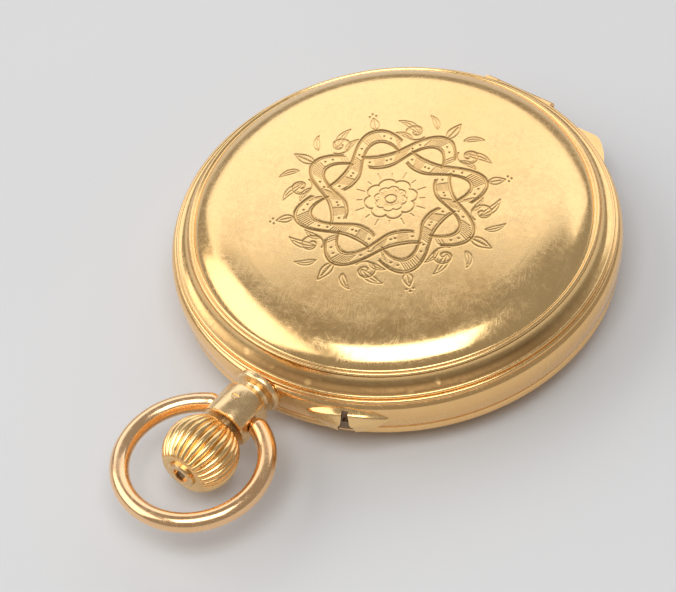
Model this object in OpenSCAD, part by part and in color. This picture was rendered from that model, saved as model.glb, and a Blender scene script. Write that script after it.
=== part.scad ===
// Hunter pocket watch: a closed two-lid case with a bow, a fluted crown and a keyless lever movement.
// Millimetres. The origin is the centre of the flat that the watch lies on, under the dial-side lid.
// +Z points out of the engraved lid, -Y along the pendant to the crown and bow, +Y to the hinges.

/* [Case] */
// Outer radius of the case at the middle of its band
case_r = 25; // [24.9:0.05:25.1]
// Thickness of both lids' sheet
lid_wall = 0.5; // [0.4:0.05:0.55]
// Height of the engraved lid's middle over the resting face
case_t = 12.55; // [12.5:0.05:12.8]

/* [Crown and bow] */
// Radius of the fluted crown
crown_r = 4.1; // [3.8:0.1:4.4]
// Number of flutes on the crown
flutes = 28; // [20:2:32]
// Mean radius of the bow's ring
bow_r = 7.8; // [7.4:0.1:8.2]
// Radius of the bow's wire
bow_wire = 1.05; // [0.9:0.05:1.15]

/* [Dial side] */
// Radius of the crystal
crystal_r = 19.8; // [19.7:0.05:19.8]
// Length of the minute hand from the centre
minute_len = 17; // [15:0.5:18]
// Length of the hour hand from the centre
hour_len = 11.5; // [9:0.5:12]

/* [Movement] */
// Radius of the main plate
plate_r = 21.5; // [21.3:0.05:21.5]
// Outer radius of the balance wheel
balance_r = 7.3; // [6.8:0.1:7.4]

/* [Hidden] */

$fn = 96;
gap = 0.02;            // radial running clearance of pins and pivots
nudge = 0.1;           // how far a cutting shape passes a face

seam_back = 8.15;      // height of the joint between band and engraved lid
seam_front = 3.9;      // height of the joint between band and dial-side lid
bore_r = 22.6;         // inside of the band above the movement's ledge
ledge_r = 21.6;        // bore that centres the main plate
stem_z = 6;            // height of the stem, the pendant and the bow's pivots

back_axis = [24.3, 7.5];    // y and z of the engraved lid's hinge, which the cuvette shares
back_knuckle = 0.6;
back_pin = 0.25;
front_axis = [24.95, 3.95]; // y and z of the dial-side lid's hinge
front_knuckle = 0.7;
front_pin = 0.3;
lug_half = 10;         // half of the dial-side hinge's length

head_r = 2.75;         // pendant head
head_flat = 2.45;      // half width across the head's two flats
head_y = [26.6, 31];   // where the head begins and ends, outwards from the case's axis
flange_r = 2.7;
flange_y = [24.75, 25.5];
neck_r = 1.6;
stem_hole = 0.95;      // bore of the pendant, which holds the push sleeve
crown_y = 34.9;        // centre of the crown's ball
crown_half = 3.15;     // half of its height
bow_pivot_y = 29;
bow_y = 36.2;          // centre of the bow's ring
guard_a = -66;         // direction of the olivette's middle
guard_z = 5.75;
guard_in = 24.75;
guard_out = 26.2;

plate_z = [3.9, 5.6];
bridge_z = [7.9, 9];
barrel = [-9.21, -6.46];
third = [6.29, -5.8];
fourth = [10.6, 0];
escape = [9.45, 6.5];
pallets = [6.39, 8.92];
balance = [1, 13.2];
minute_post = [0, -4.8];
crown_post = [0, -13.51];
cock_foot = [-11.6, 12.6];
barrel_feet = [[-14.6, 4.8], [-3.2, -18.6]];
train_feet = [[16.8, -9.5], [17.4, 6.6]];
pallet_foot = [12, 12.6];
click_post = [-10.8, -15.46];
case_screw_angles = [-20, 160];

gold = [0.85, 0.66, 0.33];
steel = [0.72, 0.73, 0.75];
blued = [0.12, 0.16, 0.36];
nickel = [0.78, 0.77, 0.73];
brass = [0.82, 0.68, 0.36];
ruby = [0.72, 0.1, 0.24];

function arc(c, r, a0, a1, n = 8) =
    [for (i = [0:n]) let (a = a0 + (a1 - a0) * i / n) [c[0] + r * cos(a), c[1] + r * sin(a)]];

// One wheel's outline: straight-sided teeth, thin enough to leave backlash
function teeth(n, m, add, ded) = [for (i = [0:n - 1]) for (k = [0:3])
    let (r = m * n / 2, step = 360 / n, tip = k == 1 || k == 2,
         a = (i + [-0.17, -0.07, 0.07, 0.17][k]) * step, q = tip ? r + add * m : r - ded * m)
    [q * cos(a), q * sin(a)]];

module turned(points) rotate_extrude() polygon(points);

// A rod from one height to another
module rod(r, z0, z1) translate([0, 0, z0]) cylinder(r = r, h = z1 - z0);

// A rod along X about a hinge's axis
module x_rod(axis, r, x0, x1)
    translate([x0, axis[0], axis[1]]) rotate([0, 90, 0]) cylinder(r = r, h = x1 - x0);

// A rod outwards along the pendant's axis
module stem_rod(r, y0, y1)
    translate([0, -y0, stem_z]) rotate([90, 0, 0]) cylinder(r = r, h = y1 - y0);

module at(p) translate([p[0], p[1], 0]) children();

// A flat bar with round ends, from one point to another
module bar(p, q, r, z0, z1) {
    v = q - p;
    at(p) rotate([0, 0, atan2(v[1], v[0])]) translate([0, 0, z0]) linear_extrude(z1 - z0)
        polygon(concat(arc([0, 0], r, 90, 270, 24), arc([norm(v), 0], r, -90, 90, 24)));
}

// A toothed wheel turned by angle a
module gear(n, m, z0, z1, a = 0, add = 0.8, ded = 1)
    translate([0, 0, z0]) rotate([0, 0, a]) linear_extrude(z1 - z0) polygon(teeth(n, m, add, ded));

// Windows of a wheel between its spokes
module windows(r0, r1, z0, z1, spokes, w)
    difference() {
        rod(r1, z0 - nudge, z1 + nudge);
        rod(r0, z0 - 2 * nudge, z1 + 2 * nudge);
        for (i = [0:spokes - 1])
            rotate([0, 0, i * 360 / spokes]) translate([0, -w / 2, z0 - 2 * nudge])
                cube([r1 + 1, w, z1 - z0 + 4 * nudge]);
    }

module screw(p, r, z0, z1, shank, z_low) at(p) difference() {
    union() {
        rod(r, z0, z1);
        rod(shank, z_low, z0 + nudge);
    }
    translate([-r - nudge, -0.12, z1 - 0.15]) cube([2 * r + 2 * nudge, 0.24, 1]);
}

// ---- case ----

// Plate that carries a straight hinge on the round case
module lug(z0, z1, inner)
    difference() {
        translate([0, 0, z0]) linear_extrude(z1 - z0) polygon([[-14, 18], [-14, 20.6],
            [-lug_half, front_axis[0]], [lug_half, front_axis[0]], [14, 20.6], [14, 18]]);
        rod(inner, z0 - nudge, z1 + nudge);
    }

module case_middle() color(gold) difference() {
    union() {
        turned(concat([[bore_r, 5.6], [ledge_r, 5.6], [ledge_r, 3.3], [22.45, 3.3], [22.45, seam_front],
            [case_r - 0.3, seam_front], [case_r - 0.12, 4.7], [case_r, 5.7], [case_r, 6.6],
            [case_r - 0.15, 7.2], [case_r - 0.45, 7.6]], arc([case_r - 0.65, 7.9], 0.25, -50, 90),
            [[bore_r, seam_back]]));
        lug(seam_front + 0.15, 5.4, bore_r);
        for (x = [-lug_half, -1.9, 6.1])
            x_rod(front_axis, front_knuckle, x, x + 3.85);
    }
    x_rod(front_axis, front_pin + gap, -12, 12);
    for (s = [-1, 1])
        x_rod(front_axis, front_knuckle + 0.1, s * 4 - 2.05, s * 4 + 2.05);
    difference() {
        x_rod(back_axis, 1.05, -4.6, 4.6);
        for (s = [-1, 1]) {
            translate([s * 2.175 - 0.67, back_axis[0] - 0.5, 6.2])
                cube([1.34, 1, back_axis[1] - 6.2]);
            x_rod(back_axis, back_knuckle, s * 2.175 - 0.67, s * 2.175 + 0.67);
        }
    }
    x_rod(back_axis, back_pin + gap, -5, 5);
    translate([-1.5, 21, 7.6]) cube([3, 3, 1]);
    stem_rod(flange_r + gap, flange_y[0], 27);
    stem_rod(stem_hole, 20, 26);
    rotate([0, 0, guard_a]) {
        translate([22, 0, guard_z]) rotate([0, 90, 0]) cylinder(r = 0.4 + gap, h = 4);
        translate([21.2, -0.7, 4.6]) cube([1.45, 1.4, 1.75]);
    }
    difference() {
        guard_block();
        rod(guard_in - gap, 2, 10);
    }
}

module back_cover() color(gold) difference() {
    union() {
        turned(concat([[23.3, seam_back], [24.05, seam_back]], arc([24.05, 8.4], 0.25, -60, 70),
            arc([24.35, 10.45], 1.9, 262, 188, 12), arc([22.2, 10.35], 0.25, -20, 80),
            arc([19, 9.45], 3, 22, 90, 12), [[0, case_t], [0, case_t - lid_wall - 0.05]],
            arc([19, 9.45], 3 - lid_wall, 90, 15), [[21.75, 9.75], [22.35, 8.85], [23, 8.45]]));
        for (s = [-1, 1]) {
            translate([s * 3.7 - 0.75, back_axis[0] - 0.6, back_axis[1]]) cube([1.5, 0.6, 0.85]);
            x_rod(back_axis, back_knuckle, s * 3.7 - 0.75, s * 3.7 + 0.75);
        }
    }
    x_rod(back_axis, back_pin + gap, -5, 5);
}

module front_cover() color(gold) difference() {
    union() {
        turned(concat([[23.9, seam_front], [24.6, seam_front]], arc([24.35, 3.1], 0.25, 0, -100),
            arc([24.5, 1.15], 1.8, 98, 165, 12), arc([22.45, 1.75], 0.25, -20, -100),
            arc([19.9, 2.6], 2.6, -24, -90, 12), [[0, 0], [0, lid_wall]],
            arc([19.9, 2.6], 2.6 - lid_wall, -90, -20), [[22.3, 2.25], [22.9, 2.95], [23.9, 3.5]]));
        lug(2.95, seam_front - 0.05, 23.9);
        for (s = [-1, 1])
            x_rod(front_axis, front_knuckle, s * 4 - 1.95, s * 4 + 1.95);
    }
    x_rod(front_axis, front_pin + gap, -12, 12);
    for (x = [-lug_half - 0.2, -2.05, 5.95])
        x_rod(front_axis, front_knuckle + 0.1, x, x + 4.1 + (x < -5 || x > 5 ? 0.2 : 0));
}

module cuvette() color(gold) difference() {
    union() {
        turned([[0, 10], [20, 10], [20.75, 9.45], [21.8, 8.2], [21.8, 7.7], [22.3, 7.7], [22.3, 8.3],
            [21.2, 9.6], [20.3, 10.35], [0, 10.35]]);
        translate([-1.35, 22, 7.65]) cube([2.7, back_axis[0] - 22, 0.45]);
        x_rod(back_axis, back_knuckle, -1.35, 1.35);
    }
    x_rod(back_axis, back_pin + gap, -5, 5);
}

module bezel() color(gold) turned([[19.3, 1.75], [crystal_r + 0.05, 1.75], [crystal_r + 0.05, 1.05],
    [20.6, 1.05], [21.2, 1.6], [21.9, 2.6], [22.8, 3.35], [22.8, 3.85], [22.5, 3.85], [22.5, 3.25],
    [21.5, 3.25], [19.9, 2.6], [19.3, 2.3]]);

module crystal() color([0.85, 0.9, 0.92, 0.5]) turned([[0, 1], [crystal_r - 0.4, 1], [crystal_r, 1.2],
    [crystal_r, 1.72], [0, 1.72]]);

// Pointed oval, as a block pointing outwards from the band: two large arcs that cross at its ends
module guard_block() rotate([0, 0, guard_a]) intersection() {
    translate([24, 0, guard_z + 6.26]) rotate([0, 90, 0]) cylinder(r = 7.71, h = 4);
    translate([24, 0, guard_z - 6.26]) rotate([0, 90, 0]) cylinder(r = 7.71, h = 4);
}

// Pointed-oval guard on the band, with the slot that the setting pin stands in
module olivette_guard() color(gold) difference() {
    intersection() {
        guard_block();
        rod(guard_out, 3, 9);
    }
    rod(guard_in, 2, 10);
    rotate([0, 0, guard_a]) {
        translate([24, 0, guard_z]) rotate([0, 90, 0]) cylinder(r = 0.4 + gap, h = 4);
        translate([25, 0, guard_z]) rotate([90, 0, 90]) linear_extrude(3)
            polygon([[-0.9, -3], [0.9, -3], [0.43, 0.25], [0.43, 3], [-0.43, 3], [-0.43, 0.25]]);
    }
}

module setting_pin() color(steel) rotate([0, 0, guard_a]) {
    translate([22.5, 0, guard_z]) rotate([0, 90, 0]) cylinder(r = 0.4, h = 3.3);
    translate([22.3, 0, guard_z]) rotate([0, 90, 0]) cylinder(r = 0.55, h = 0.25);
}

// ---- pendant, bow and crown ----

module pendant() color(gold) difference() {
    union() {
        stem_rod(flange_r, flange_y[0], flange_y[1]);
        stem_rod(neck_r, flange_y[1] - nudge, head_y[0] + nudge);
        intersection() {
            stem_rod(head_r, head_y[0], head_y[1]);
            translate([-head_flat, -32, 0]) cube([2 * head_flat, 8, 12]);
        }
    }
    stem_rod(stem_hole, 20, 34);
    translate([-4, -bow_pivot_y, stem_z]) rotate([0, 90, 0]) cylinder(r = 0.5 + gap, h = 2.6);
    translate([1.4, -bow_pivot_y, stem_z]) rotate([0, 90, 0]) cylinder(r = 0.5 + gap, h = 2.6);
    translate([0, -28.4, stem_z + head_r - 0.55]) cylinder(r = 0.46, h = 1);
}

module pendant_screw() color(steel)
    screw([0, -28.4], 0.45, stem_z + head_r - 0.5, stem_z + head_r + 0.05, 0.3, stem_z + head_r - 0.55);

// Sleeve that slides in the pendant with the crown and pushes the lock spring
module push_sleeve() color(steel) difference() {
    union() {
        stem_rod(stem_hole - gap, 23.4, 31.7);
        stem_rod(1.25, 31.63, 31.82);
    }
    stem_rod(0.55, 20, 34);
}

module bow() color(gold) {
    difference() {
        translate([0, -bow_y, stem_z]) rotate_extrude() translate([bow_r, 0]) circle(r = bow_wire);
        translate([-2.6, -32, 0]) cube([5.2, 12, 12]);
    }
    for (s = [-1, 1])
        translate([s * 2.55 - 0.85, -bow_pivot_y, stem_z]) rotate([0, 90, 0]) cylinder(r = 0.5, h = 1.7);
}

// Ball of plain cones, cut to a star by its straight flutes
module crown() color(gold) difference() {
    translate([0, -crown_y, stem_z]) rotate([90, 0, 0]) intersection() {
        turned(concat([[0, -crown_half]], arc([0, 0], crown_r, -50, 50, 14), [[0, crown_half]]));
        translate([0, 0, -5]) linear_extrude(10) polygon([for (i = [0:flutes - 1]) for (k = [0:3])
            let (r = k == 1 || k == 2 ? crown_r + 0.05 : crown_r - 0.3,
                 a = (i + [-0.34, -0.22, 0.22, 0.34][k]) * 360 / flutes) [r * cos(a), r * sin(a)]]);
    }
    stem_rod(0.5, 30, 37.6);
    stem_rod(1.65, 37.6, 40);
    stem_rod(1.35, 30, 31.85);
}

module crown_cap() color(gold) difference() {
    stem_rod(1.65, 37.6, 38.45);
    stem_rod(0.85, 37.9, 39);
    stem_rod(0.5 + gap, 37, 38);
}

module winding_stem() color(steel) {
    stem_rod(0.5, 15.3, 38.2);
    translate([-0.4, -15.4, stem_z - 0.4]) cube([0.8, 3, 0.8]);
}

// ---- hinge pins and springs of the case ----

module back_hinge_pin() color(gold) x_rod(back_axis, back_pin, -4.45, 4.45);

module front_hinge_pin() color(gold) x_rod(front_axis, front_pin, -9.95, 9.95);

// A flat spring along the inside of the band, between two directions
module band_spring(r0, r1, z0, z1, a0, a1)
    translate([0, 0, z0]) linear_extrude(z1 - z0)
        polygon(concat(arc([0, 0], r1, a0, a1, 24), arc([0, 0], r0, a1, a0, 24)));

module lock_spring() color(steel) difference() {
    band_spring(22.1, 22.5, 5.75, 7.4, -112, -68);
    stem_rod(0.6, 15, 24);
}

module lift_spring() color(steel) band_spring(22.1, 22.5, 5.75, 7.1, 60, 120);

module case_screws() color(steel)
    for (a = case_screw_angles)
        screw([21 * cos(a), 21 * sin(a)], 0.9, 5.62, 6.1, 0.4, 4.4);

// ---- dial side ----

module dial() color([0.95, 0.94, 0.9]) difference() {
    rod(21.2, 3.4, 3.85);
    rod(1.05, 3, 4);
    at(fourth) rod(0.35, 3, 4);
    at(fourth) rod(4.6, 3, 3.48);
}

// A tapering hand along +X with a round boss
module hand(len, w, tail, boss, hole, z0, z1)
    translate([0, 0, z0]) linear_extrude(z1 - z0) difference() {
        union() {
            circle(r = boss);
            polygon([[-tail, -w / 2], [-tail, w / 2], [len * 0.6, w], [len * 0.75, w * 0.9],
                [len, 0.08], [len, -0.08], [len * 0.75, -w * 0.9], [len * 0.6, -w]]);
        }
        circle(r = hole);
    }

module hour_hand() color(blued) rotate([0, 0, -125]) hand(hour_len, 0.6, 0, 1.4, 0.96, 2.8, 2.94);

module minute_hand() color(blued) rotate([0, 0, 120]) hand(minute_len, 0.5, 0, 1.1, 0.7, 2.4, 2.52);

module seconds_hand() color(blued)
    at(fourth) rotate([0, 0, 40]) hand(3.9, 0.14, 1.6, 0.5, 0.14, 3.14, 3.22);

module cannon_pinion() color(steel) difference() {
    union() {
        rod(0.68, 2.38, 4.3);
        gear(12, 0.2, 4.28, 4.62, 15);
    }
    rod(0.47, 2, 5);
}

module hour_wheel() color(brass) difference() {
    union() {
        rod(0.94, 2.78, 4.02);
        gear(40, 0.192, 4.02, 4.2, 4.5);
    }
    rod(0.7, 2, 5);
}

module minute_wheel() color(brass) at(minute_post) difference() {
    union() {
        gear(10, 0.192, 3.98, 4.32, 90);
        gear(36, 0.2, 4.32, 4.52, 90);
    }
    rod(0.42, 3, 5);
}

// ---- plates, bridges and screws ----

module pillar(p, r) at(p) rod(r, plate_z[1], bridge_z[0] + nudge);

module mainplate() color(nickel) difference() {
    union() {
        rod(plate_r, plate_z[0], plate_z[1]);
        at(minute_post) rod(0.4, 3.95, 5);
    }
    difference() {
        union() {
            rod(4.5, 3, 4.7);
            at(minute_post) rod(4.2, 3, 4.7);
        }
        at(minute_post) rod(0.4, 3.95, 5);
    }
    rod(0.72, 3, 6);
    for (p = [third, fourth, escape, pallets, balance])
        at(p) rod(0.5, 3, 6);
    at(barrel) rod(1.02, 3, 6);
    translate([0, -12, stem_z]) rotate([90, 0, 0]) cylinder(r = 1.75, h = 11);
    for (a = case_screw_angles)
        at([21 * cos(a), 21 * sin(a)]) rod(0.42, 3, 6);
    rotate([0, 0, guard_a]) translate([18, -1.3, 4.6]) cube([5, 2.6, 2]);
}

module barrel_bridge() color(nickel) difference() {
    union() {
        difference() {
            rod(20.8, bridge_z[0], bridge_z[1]);
            translate([2.6, -30, 7]) cube([30, 60, 4]);
            translate([-30, 6, 7]) cube([60, 30, 4]);
            at(balance) rod(8.2, 7, 10);
        }
        for (p = barrel_feet) pillar(p, 1.2);
    }
    at(barrel) rod(1.02, 7, 10);
    rod(0.35, 7, 10);
    at(crown_post) rod(0.85, 7, 10);
    for (p = barrel_feet) at(p) rod(0.62, 5, 10);
    at(click_post) rod(0.32, 8.4, 10);
}

module train_bridge() color(nickel) difference() {
    union() {
        difference() {
            rod(20.8, bridge_z[0], bridge_z[1]);
            translate([-30, -30, 7]) cube([32.9, 60, 4]);
            translate([-30, 9.2, 7]) cube([60, 30, 4]);
            at(balance) rod(8.2, 7, 10);
        }
        for (p = train_feet) pillar(p, 1.2);
    }
    for (p = [third, fourth, escape]) at(p) rod(0.5, 7, 10);
    for (p = train_feet) at(p) rod(0.62, 5, 10);
    at(crown_post) rod(5.1, 8.8, 10);
}

module pallet_cock() color(nickel) difference() {
    union() {
        bar(pallets, pallet_foot, 1.1, 7.45, 7.75);
        at(pallet_foot) rod(1.3, plate_z[1], 7.5);
    }
    at(pallets) rod(0.5, 7, 8);
    at(pallet_foot) rod(0.5, 5, 8);
}

module balance_cock() color(nickel) difference() {
    union() {
        bar(balance, cock_foot, 1.7, 9.15, 9.6);
        at(cock_foot) rod(2.6, plate_z[1], 9.45);
    }
    at(balance) rod(0.6, 9, 10);
    at(cock_foot) rod(0.62, 5, 10);
}

module bridge_screws() color(blued) {
    for (p = concat(barrel_feet, train_feet))
        screw(p, 1.1, bridge_z[1], 9.35, 0.6, plate_z[1] + nudge);
    screw(cock_foot, 1.2, 9.6, 9.85, 0.6, plate_z[1] + nudge);
    screw(pallet_foot, 0.8, 7.75, 8, 0.48, plate_z[1] + nudge);
}

module jewel(p, r, z0, z1) at(p) difference() {
    rod(r, z0, z1);
    rod(0.14, z0 - 1, z1 + 1);
}

module jewels() color(ruby) {
    for (p = [third, fourth, escape]) jewel(p, 0.49, 8.7, 9.02);
    for (p = [third, escape, pallets, balance]) jewel(p, 0.49, 4, 4.3);
    jewel(pallets, 0.49, 7.5, 7.77);
    jewel(balance, 0.58, 9.2, 9.5);
}

module balance_cap() color(steel) at(balance) difference() {
    rod(1.3, 9.62, 9.75);
    for (s = [-1, 1]) translate([s * 0.85, 0, 0]) rod(0.15, 9, 10);
}

module regulator() color(steel) at(balance) difference() {
    union() {
        rod(1.9, 9.78, 9.9);
        rotate([0, 0, 35]) translate([0, -0.2, 9.78]) cube([5.6, 0.4, 0.12]);
    }
    rod(1.34, 9, 10);
}

// ---- winding and setting ----

module winding_pinion() color(steel) difference() {
    translate([0, -15.6, stem_z]) rotate([90, 0, 0]) linear_extrude(1.6)
        polygon(teeth(14, 0.2, 0.8, 1));
    stem_rod(0.58, 12, 20);
}

module crown_wheel() color(steel) at(crown_post) difference() {
    union() {
        gear(32, 0.2, 7.55, 7.8);
        rod(0.83, 7.6, 9.1);
        gear(44, 0.2, 9.03, 9.32, 4);
    }
    rod(0.4, 8.9, 10);
}

module crown_wheel_screw() color(steel) screw(crown_post, 1.3, 9.33, 9.6, 0.38, 8.95);

module ratchet_wheel() color(steel) at(barrel) difference() {
    gear(72, 0.2, 9.05, 9.35);
    translate([-0.55, -0.55, 9]) cube([1.1, 1.1, 1]);
}

module ratchet_screw() color(steel) screw(barrel, 1.6, 9.38, 9.65, 0.3, 9.1);

module barrel_arbor() color(steel) at(barrel) difference() {
    union() {
        rod(1, 4.2, 9.03);
        rod(1.9, 5.95, 6.85);
        translate([-0.53, -0.53, 9]) cube([1.06, 1.06, 0.35]);
    }
    rod(0.31, 9, 10);
}

module mainspring_barrel() color(brass) at(barrel) difference() {
    union() {
        rod(9.3, 5.72, 7.1);
        gear(78, 0.25, 5.75, 6.15);
    }
    rod(8.8, 5.92, 6.9);
    rod(1.02, 5, 8);
}

// Wound ribbon inside the barrel
module mainspring() color(steel) at(barrel) for (i = [0:7]) difference() {
    rod(4.7 + i * 0.55, 6, 6.8);
    rod(4.35 + i * 0.55, 5, 8);
}

module click() color(steel) at(click_post) difference() {
    union() {
        rod(0.8, 9.05, 9.4);
        rotate([0, 0, 86]) translate([0, -0.3, 9.05]) cube([1.45, 0.6, 0.3]);
        rod(0.3, 8.45, 9.1);
    }
    translate([-1, -0.1, 9.3]) cube([2, 0.2, 1]);
}

module click_spring() color(steel) translate([0, 0, 9.05]) linear_extrude(0.15)
    polygon(concat(arc([-9.27, -13.45], 4.3, 234, 284, 12), arc([-9.27, -13.45], 4.05, 284, 234, 12)));

module setting_lever() color(steel) rotate([0, 0, guard_a]) translate([19.2, 0, 0]) {
    translate([0, -0.3, 4.8]) cube([2.7, 0.6, 0.6]);
    rod(0.7, 4.75, 5.45);
}

// ---- going train and escapement ----

module centre_wheel() color(brass) {
    difference() {
        gear(80, 0.19, 7.3, 7.48);
        windows(2, 6.5, 7.3, 7.48, 5, 0.6);
    }
    gear(12, 0.25, 5.7, 7.32, 15 - 34.96);
    rod(0.45, 2.3, 5.8);
    rod(0.33, 7.4, 8.9);
}

module third_wheel() color(brass) at(third) {
    difference() {
        gear(75, 0.17, 7.62, 7.78);
        windows(1.6, 5.4, 7.62, 7.78, 5, 0.5);
    }
    gear(10, 0.19, 7.1, 7.64, 18 + 137.3);
    rod(0.3, 5.7, 8.6);
    rod(0.12, 4.05, 8.95);
}

module fourth_wheel() color(brass) at(fourth) {
    difference() {
        gear(80, 0.15, 6.6, 6.76);
        windows(1.4, 5.1, 6.6, 6.76, 5, 0.45);
    }
    gear(10, 0.17, 7.5, 7.86, 18 + 233.4);
    rod(0.3, 5.7, 8.6);
    rod(0.12, 3.1, 8.95);
}

// Club teeth: each leans forward from a thin root
module escape_wheel() color(steel) at(escape) {
    translate([0, 0, 7.1]) linear_extrude(0.16) difference() {
        polygon([for (i = [0:14]) for (k = [0:3])
            let (a = (i + [0, 0.5, 0.62, 0.4][k]) * 24, r = [2, 2.6, 2.5, 2][k]) [r * cos(a), r * sin(a)]]);
        for (i = [0:3]) rotate([0, 0, i * 90 + 45]) translate([1.25, 0]) circle(r = 0.5);
    }
    gear(8, 0.15, 6.4, 7.12, 22.5 + 260);
    rod(0.3, 5.7, 8.6);
    rod(0.12, 4.05, 8.95);
}

// Lever with its two pallets and the fork that the balance's pin moves
module pallet_fork() color(steel) at(pallets) rotate([0, 0, atan2(balance[1] - pallets[1],
        balance[0] - pallets[0])]) {
    translate([0, -0.2, 7.1]) cube([5.5, 0.4, 0.16]);
    for (s = [-1, 1]) {
        translate([5.3, s * 0.35 - 0.12, 7.1]) cube([0.7, 0.24, 0.16]);
        translate([-0.4, s > 0 ? 0 : -2.1, 7.1]) cube([0.7, 2.1, 0.16]);
        translate([-1.35, s * 1.95 - 0.16, 7.08]) cube([1, 0.32, 0.2]);
    }
    translate([5.2, -0.5, 7.1]) cube([0.2, 1, 0.16]);
    rod(0.25, 5.7, 7.4);
    rod(0.12, 4.05, 7.7);
}

module balance_wheel() color(brass) at(balance) {
    difference() {
        rod(balance_r, 8.1, 8.6);
        rod(balance_r - 0.7, 8, 9);
    }
    translate([-balance_r + 0.3, -0.4, 8.2]) cube([2 * balance_r - 0.6, 0.8, 0.25]);
    for (i = [0:13]) rotate([0, 0, i * 360 / 14 + 12]) translate([balance_r - 0.1, 0, 8.35])
        rotate([0, 90, 0]) cylinder(r = 0.22, h = 0.45);
    rod(0.3, 5.7, 9.1);
    rod(0.12, 4.05, 9.4);
    rod(0.9, 7.4, 7.55);
    rotate([0, 0, atan2(pallets[1] - balance[1], pallets[0] - balance[0])]) translate([0.75, 0, 0])
        rod(0.1, 7.1, 7.5);
}

// Flat spiral over the balance
module hairspring() color(blued) at(balance) {
    translate([0, 0, 8.8]) linear_extrude(0.14) polygon(concat(
        [for (a = [0:15:2520]) (0.7 + a * 3.1 / 2520) * [cos(a), sin(a)]],
        [for (a = [2520:-15:0]) (0.63 + a * 3.1 / 2520) * [cos(a), sin(a)]]));
    difference() {
        rod(0.68, 8.75, 9);
        rod(0.32, 8, 10);
    }
}

case_middle();
back_cover();
front_cover();
cuvette();
bezel();
crystal();
olivette_guard();
setting_pin();
pendant();
pendant_screw();
push_sleeve();
bow();
crown();
crown_cap();
winding_stem();
back_hinge_pin();
front_hinge_pin();
lock_spring();
lift_spring();
case_screws();
mainplate();
dial();
hour_hand();
minute_hand();
seconds_hand();
cannon_pinion();
hour_wheel();
minute_wheel();
winding_pinion();
crown_wheel();
crown_wheel_screw();
ratchet_wheel();
ratchet_screw();
barrel_arbor();
mainspring_barrel();
mainspring();
click();
click_spring();
barrel_bridge();
train_bridge();
pallet_cock();
balance_cock();
bridge_screws();
jewels();
centre_wheel();
third_wheel();
fourth_wheel();
escape_wheel();
pallet_fork();
balance_wheel();
hairspring();
regulator();
setting_lever();
balance_cap();
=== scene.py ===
"""Looks of a closed hunter pocket watch: smooth gold case pieces, engraving, dial, and every material."""

import math

import bmesh
import bpy
import numpy as np
from mathutils import Matrix, Vector

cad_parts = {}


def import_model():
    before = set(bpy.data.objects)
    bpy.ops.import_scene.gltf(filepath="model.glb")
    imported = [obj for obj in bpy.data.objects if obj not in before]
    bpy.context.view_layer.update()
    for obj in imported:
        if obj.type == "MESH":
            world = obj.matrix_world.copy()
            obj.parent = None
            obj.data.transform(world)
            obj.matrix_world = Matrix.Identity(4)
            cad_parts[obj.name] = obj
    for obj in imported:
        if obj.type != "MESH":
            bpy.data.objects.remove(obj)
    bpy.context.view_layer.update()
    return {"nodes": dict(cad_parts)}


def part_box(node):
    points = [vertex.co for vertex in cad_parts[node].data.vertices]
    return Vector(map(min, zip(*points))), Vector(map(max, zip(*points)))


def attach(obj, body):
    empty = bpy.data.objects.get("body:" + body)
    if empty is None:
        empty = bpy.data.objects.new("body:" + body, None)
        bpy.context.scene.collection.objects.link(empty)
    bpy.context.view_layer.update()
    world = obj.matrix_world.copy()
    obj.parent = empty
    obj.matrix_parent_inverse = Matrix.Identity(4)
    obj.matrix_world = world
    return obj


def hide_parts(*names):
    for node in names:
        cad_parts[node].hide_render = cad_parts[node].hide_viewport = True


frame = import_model()

MM = 0.001
TAU = 2 * math.pi

# ---- dimensions of the case, in millimetres, as in the CAD ----

STEM_Z = 6.0
SEAM_BACK, SEAM_FRONT = 8.15, 3.9
BACK_AXIS, FRONT_AXIS = (24.3, 7.5), (24.95, 3.95)
CASE_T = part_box("back_cover")[1].z / MM
CROWN_Y, CROWN_R, CROWN_HALF, FLUTES = 34.9, 4.1, 3.15, 28
BOW_Y, BOW_R, BOW_WIRE, BOW_AXIS = 36.2, 7.8, 1.05, (-29.0, STEM_Z)
GUARD_A, GUARD_Z = math.radians(-66), 5.75
GUARD_OUT, GUARD_UP = Vector((math.cos(GUARD_A), math.sin(GUARD_A), 0)), Vector((0, 0, GUARD_Z))
PIN_HOLE_R = 0.42
FIELD_R = 15.0            # radius of the finely meshed field that takes the engraving
SHARP = 0.001             # bevel of a rod that only cuts, so that the cut keeps its edge


# ---- mesh building ----

def new_object(name, verts, faces, sharp_deg=32):
    """A smooth mesh object from millimetres, with edges over the angle kept sharp."""
    mesh = bpy.data.meshes.new(name)
    mesh.from_pydata((np.asarray(verts, float) * MM).tolist(), [], faces)
    mesh.validate()
    mesh.polygons.foreach_set("use_smooth", [True] * len(mesh.polygons))
    mesh.set_sharp_from_angle(angle=math.radians(sharp_deg))
    obj = bpy.data.objects.new(name, mesh)
    bpy.context.scene.collection.objects.link(obj)
    return obj


def fix_normals(obj):
    """Merge doubled vertices and turn every face outwards."""
    bm = bmesh.new()
    bm.from_mesh(obj.data)
    bmesh.ops.remove_doubles(bm, verts=bm.verts, dist=1e-8)
    bmesh.ops.recalc_face_normals(bm, faces=bm.faces)
    bm.to_mesh(obj.data)
    bm.free()
    return obj


def arc(centre, r, a0, a1, n=10):
    """Points of a circle's arc, angles in degrees."""
    return [(centre[0] + r * math.cos(math.radians(a)), centre[1] + r * math.sin(math.radians(a)))
            for a in np.linspace(a0, a1, n + 1)]


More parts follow.
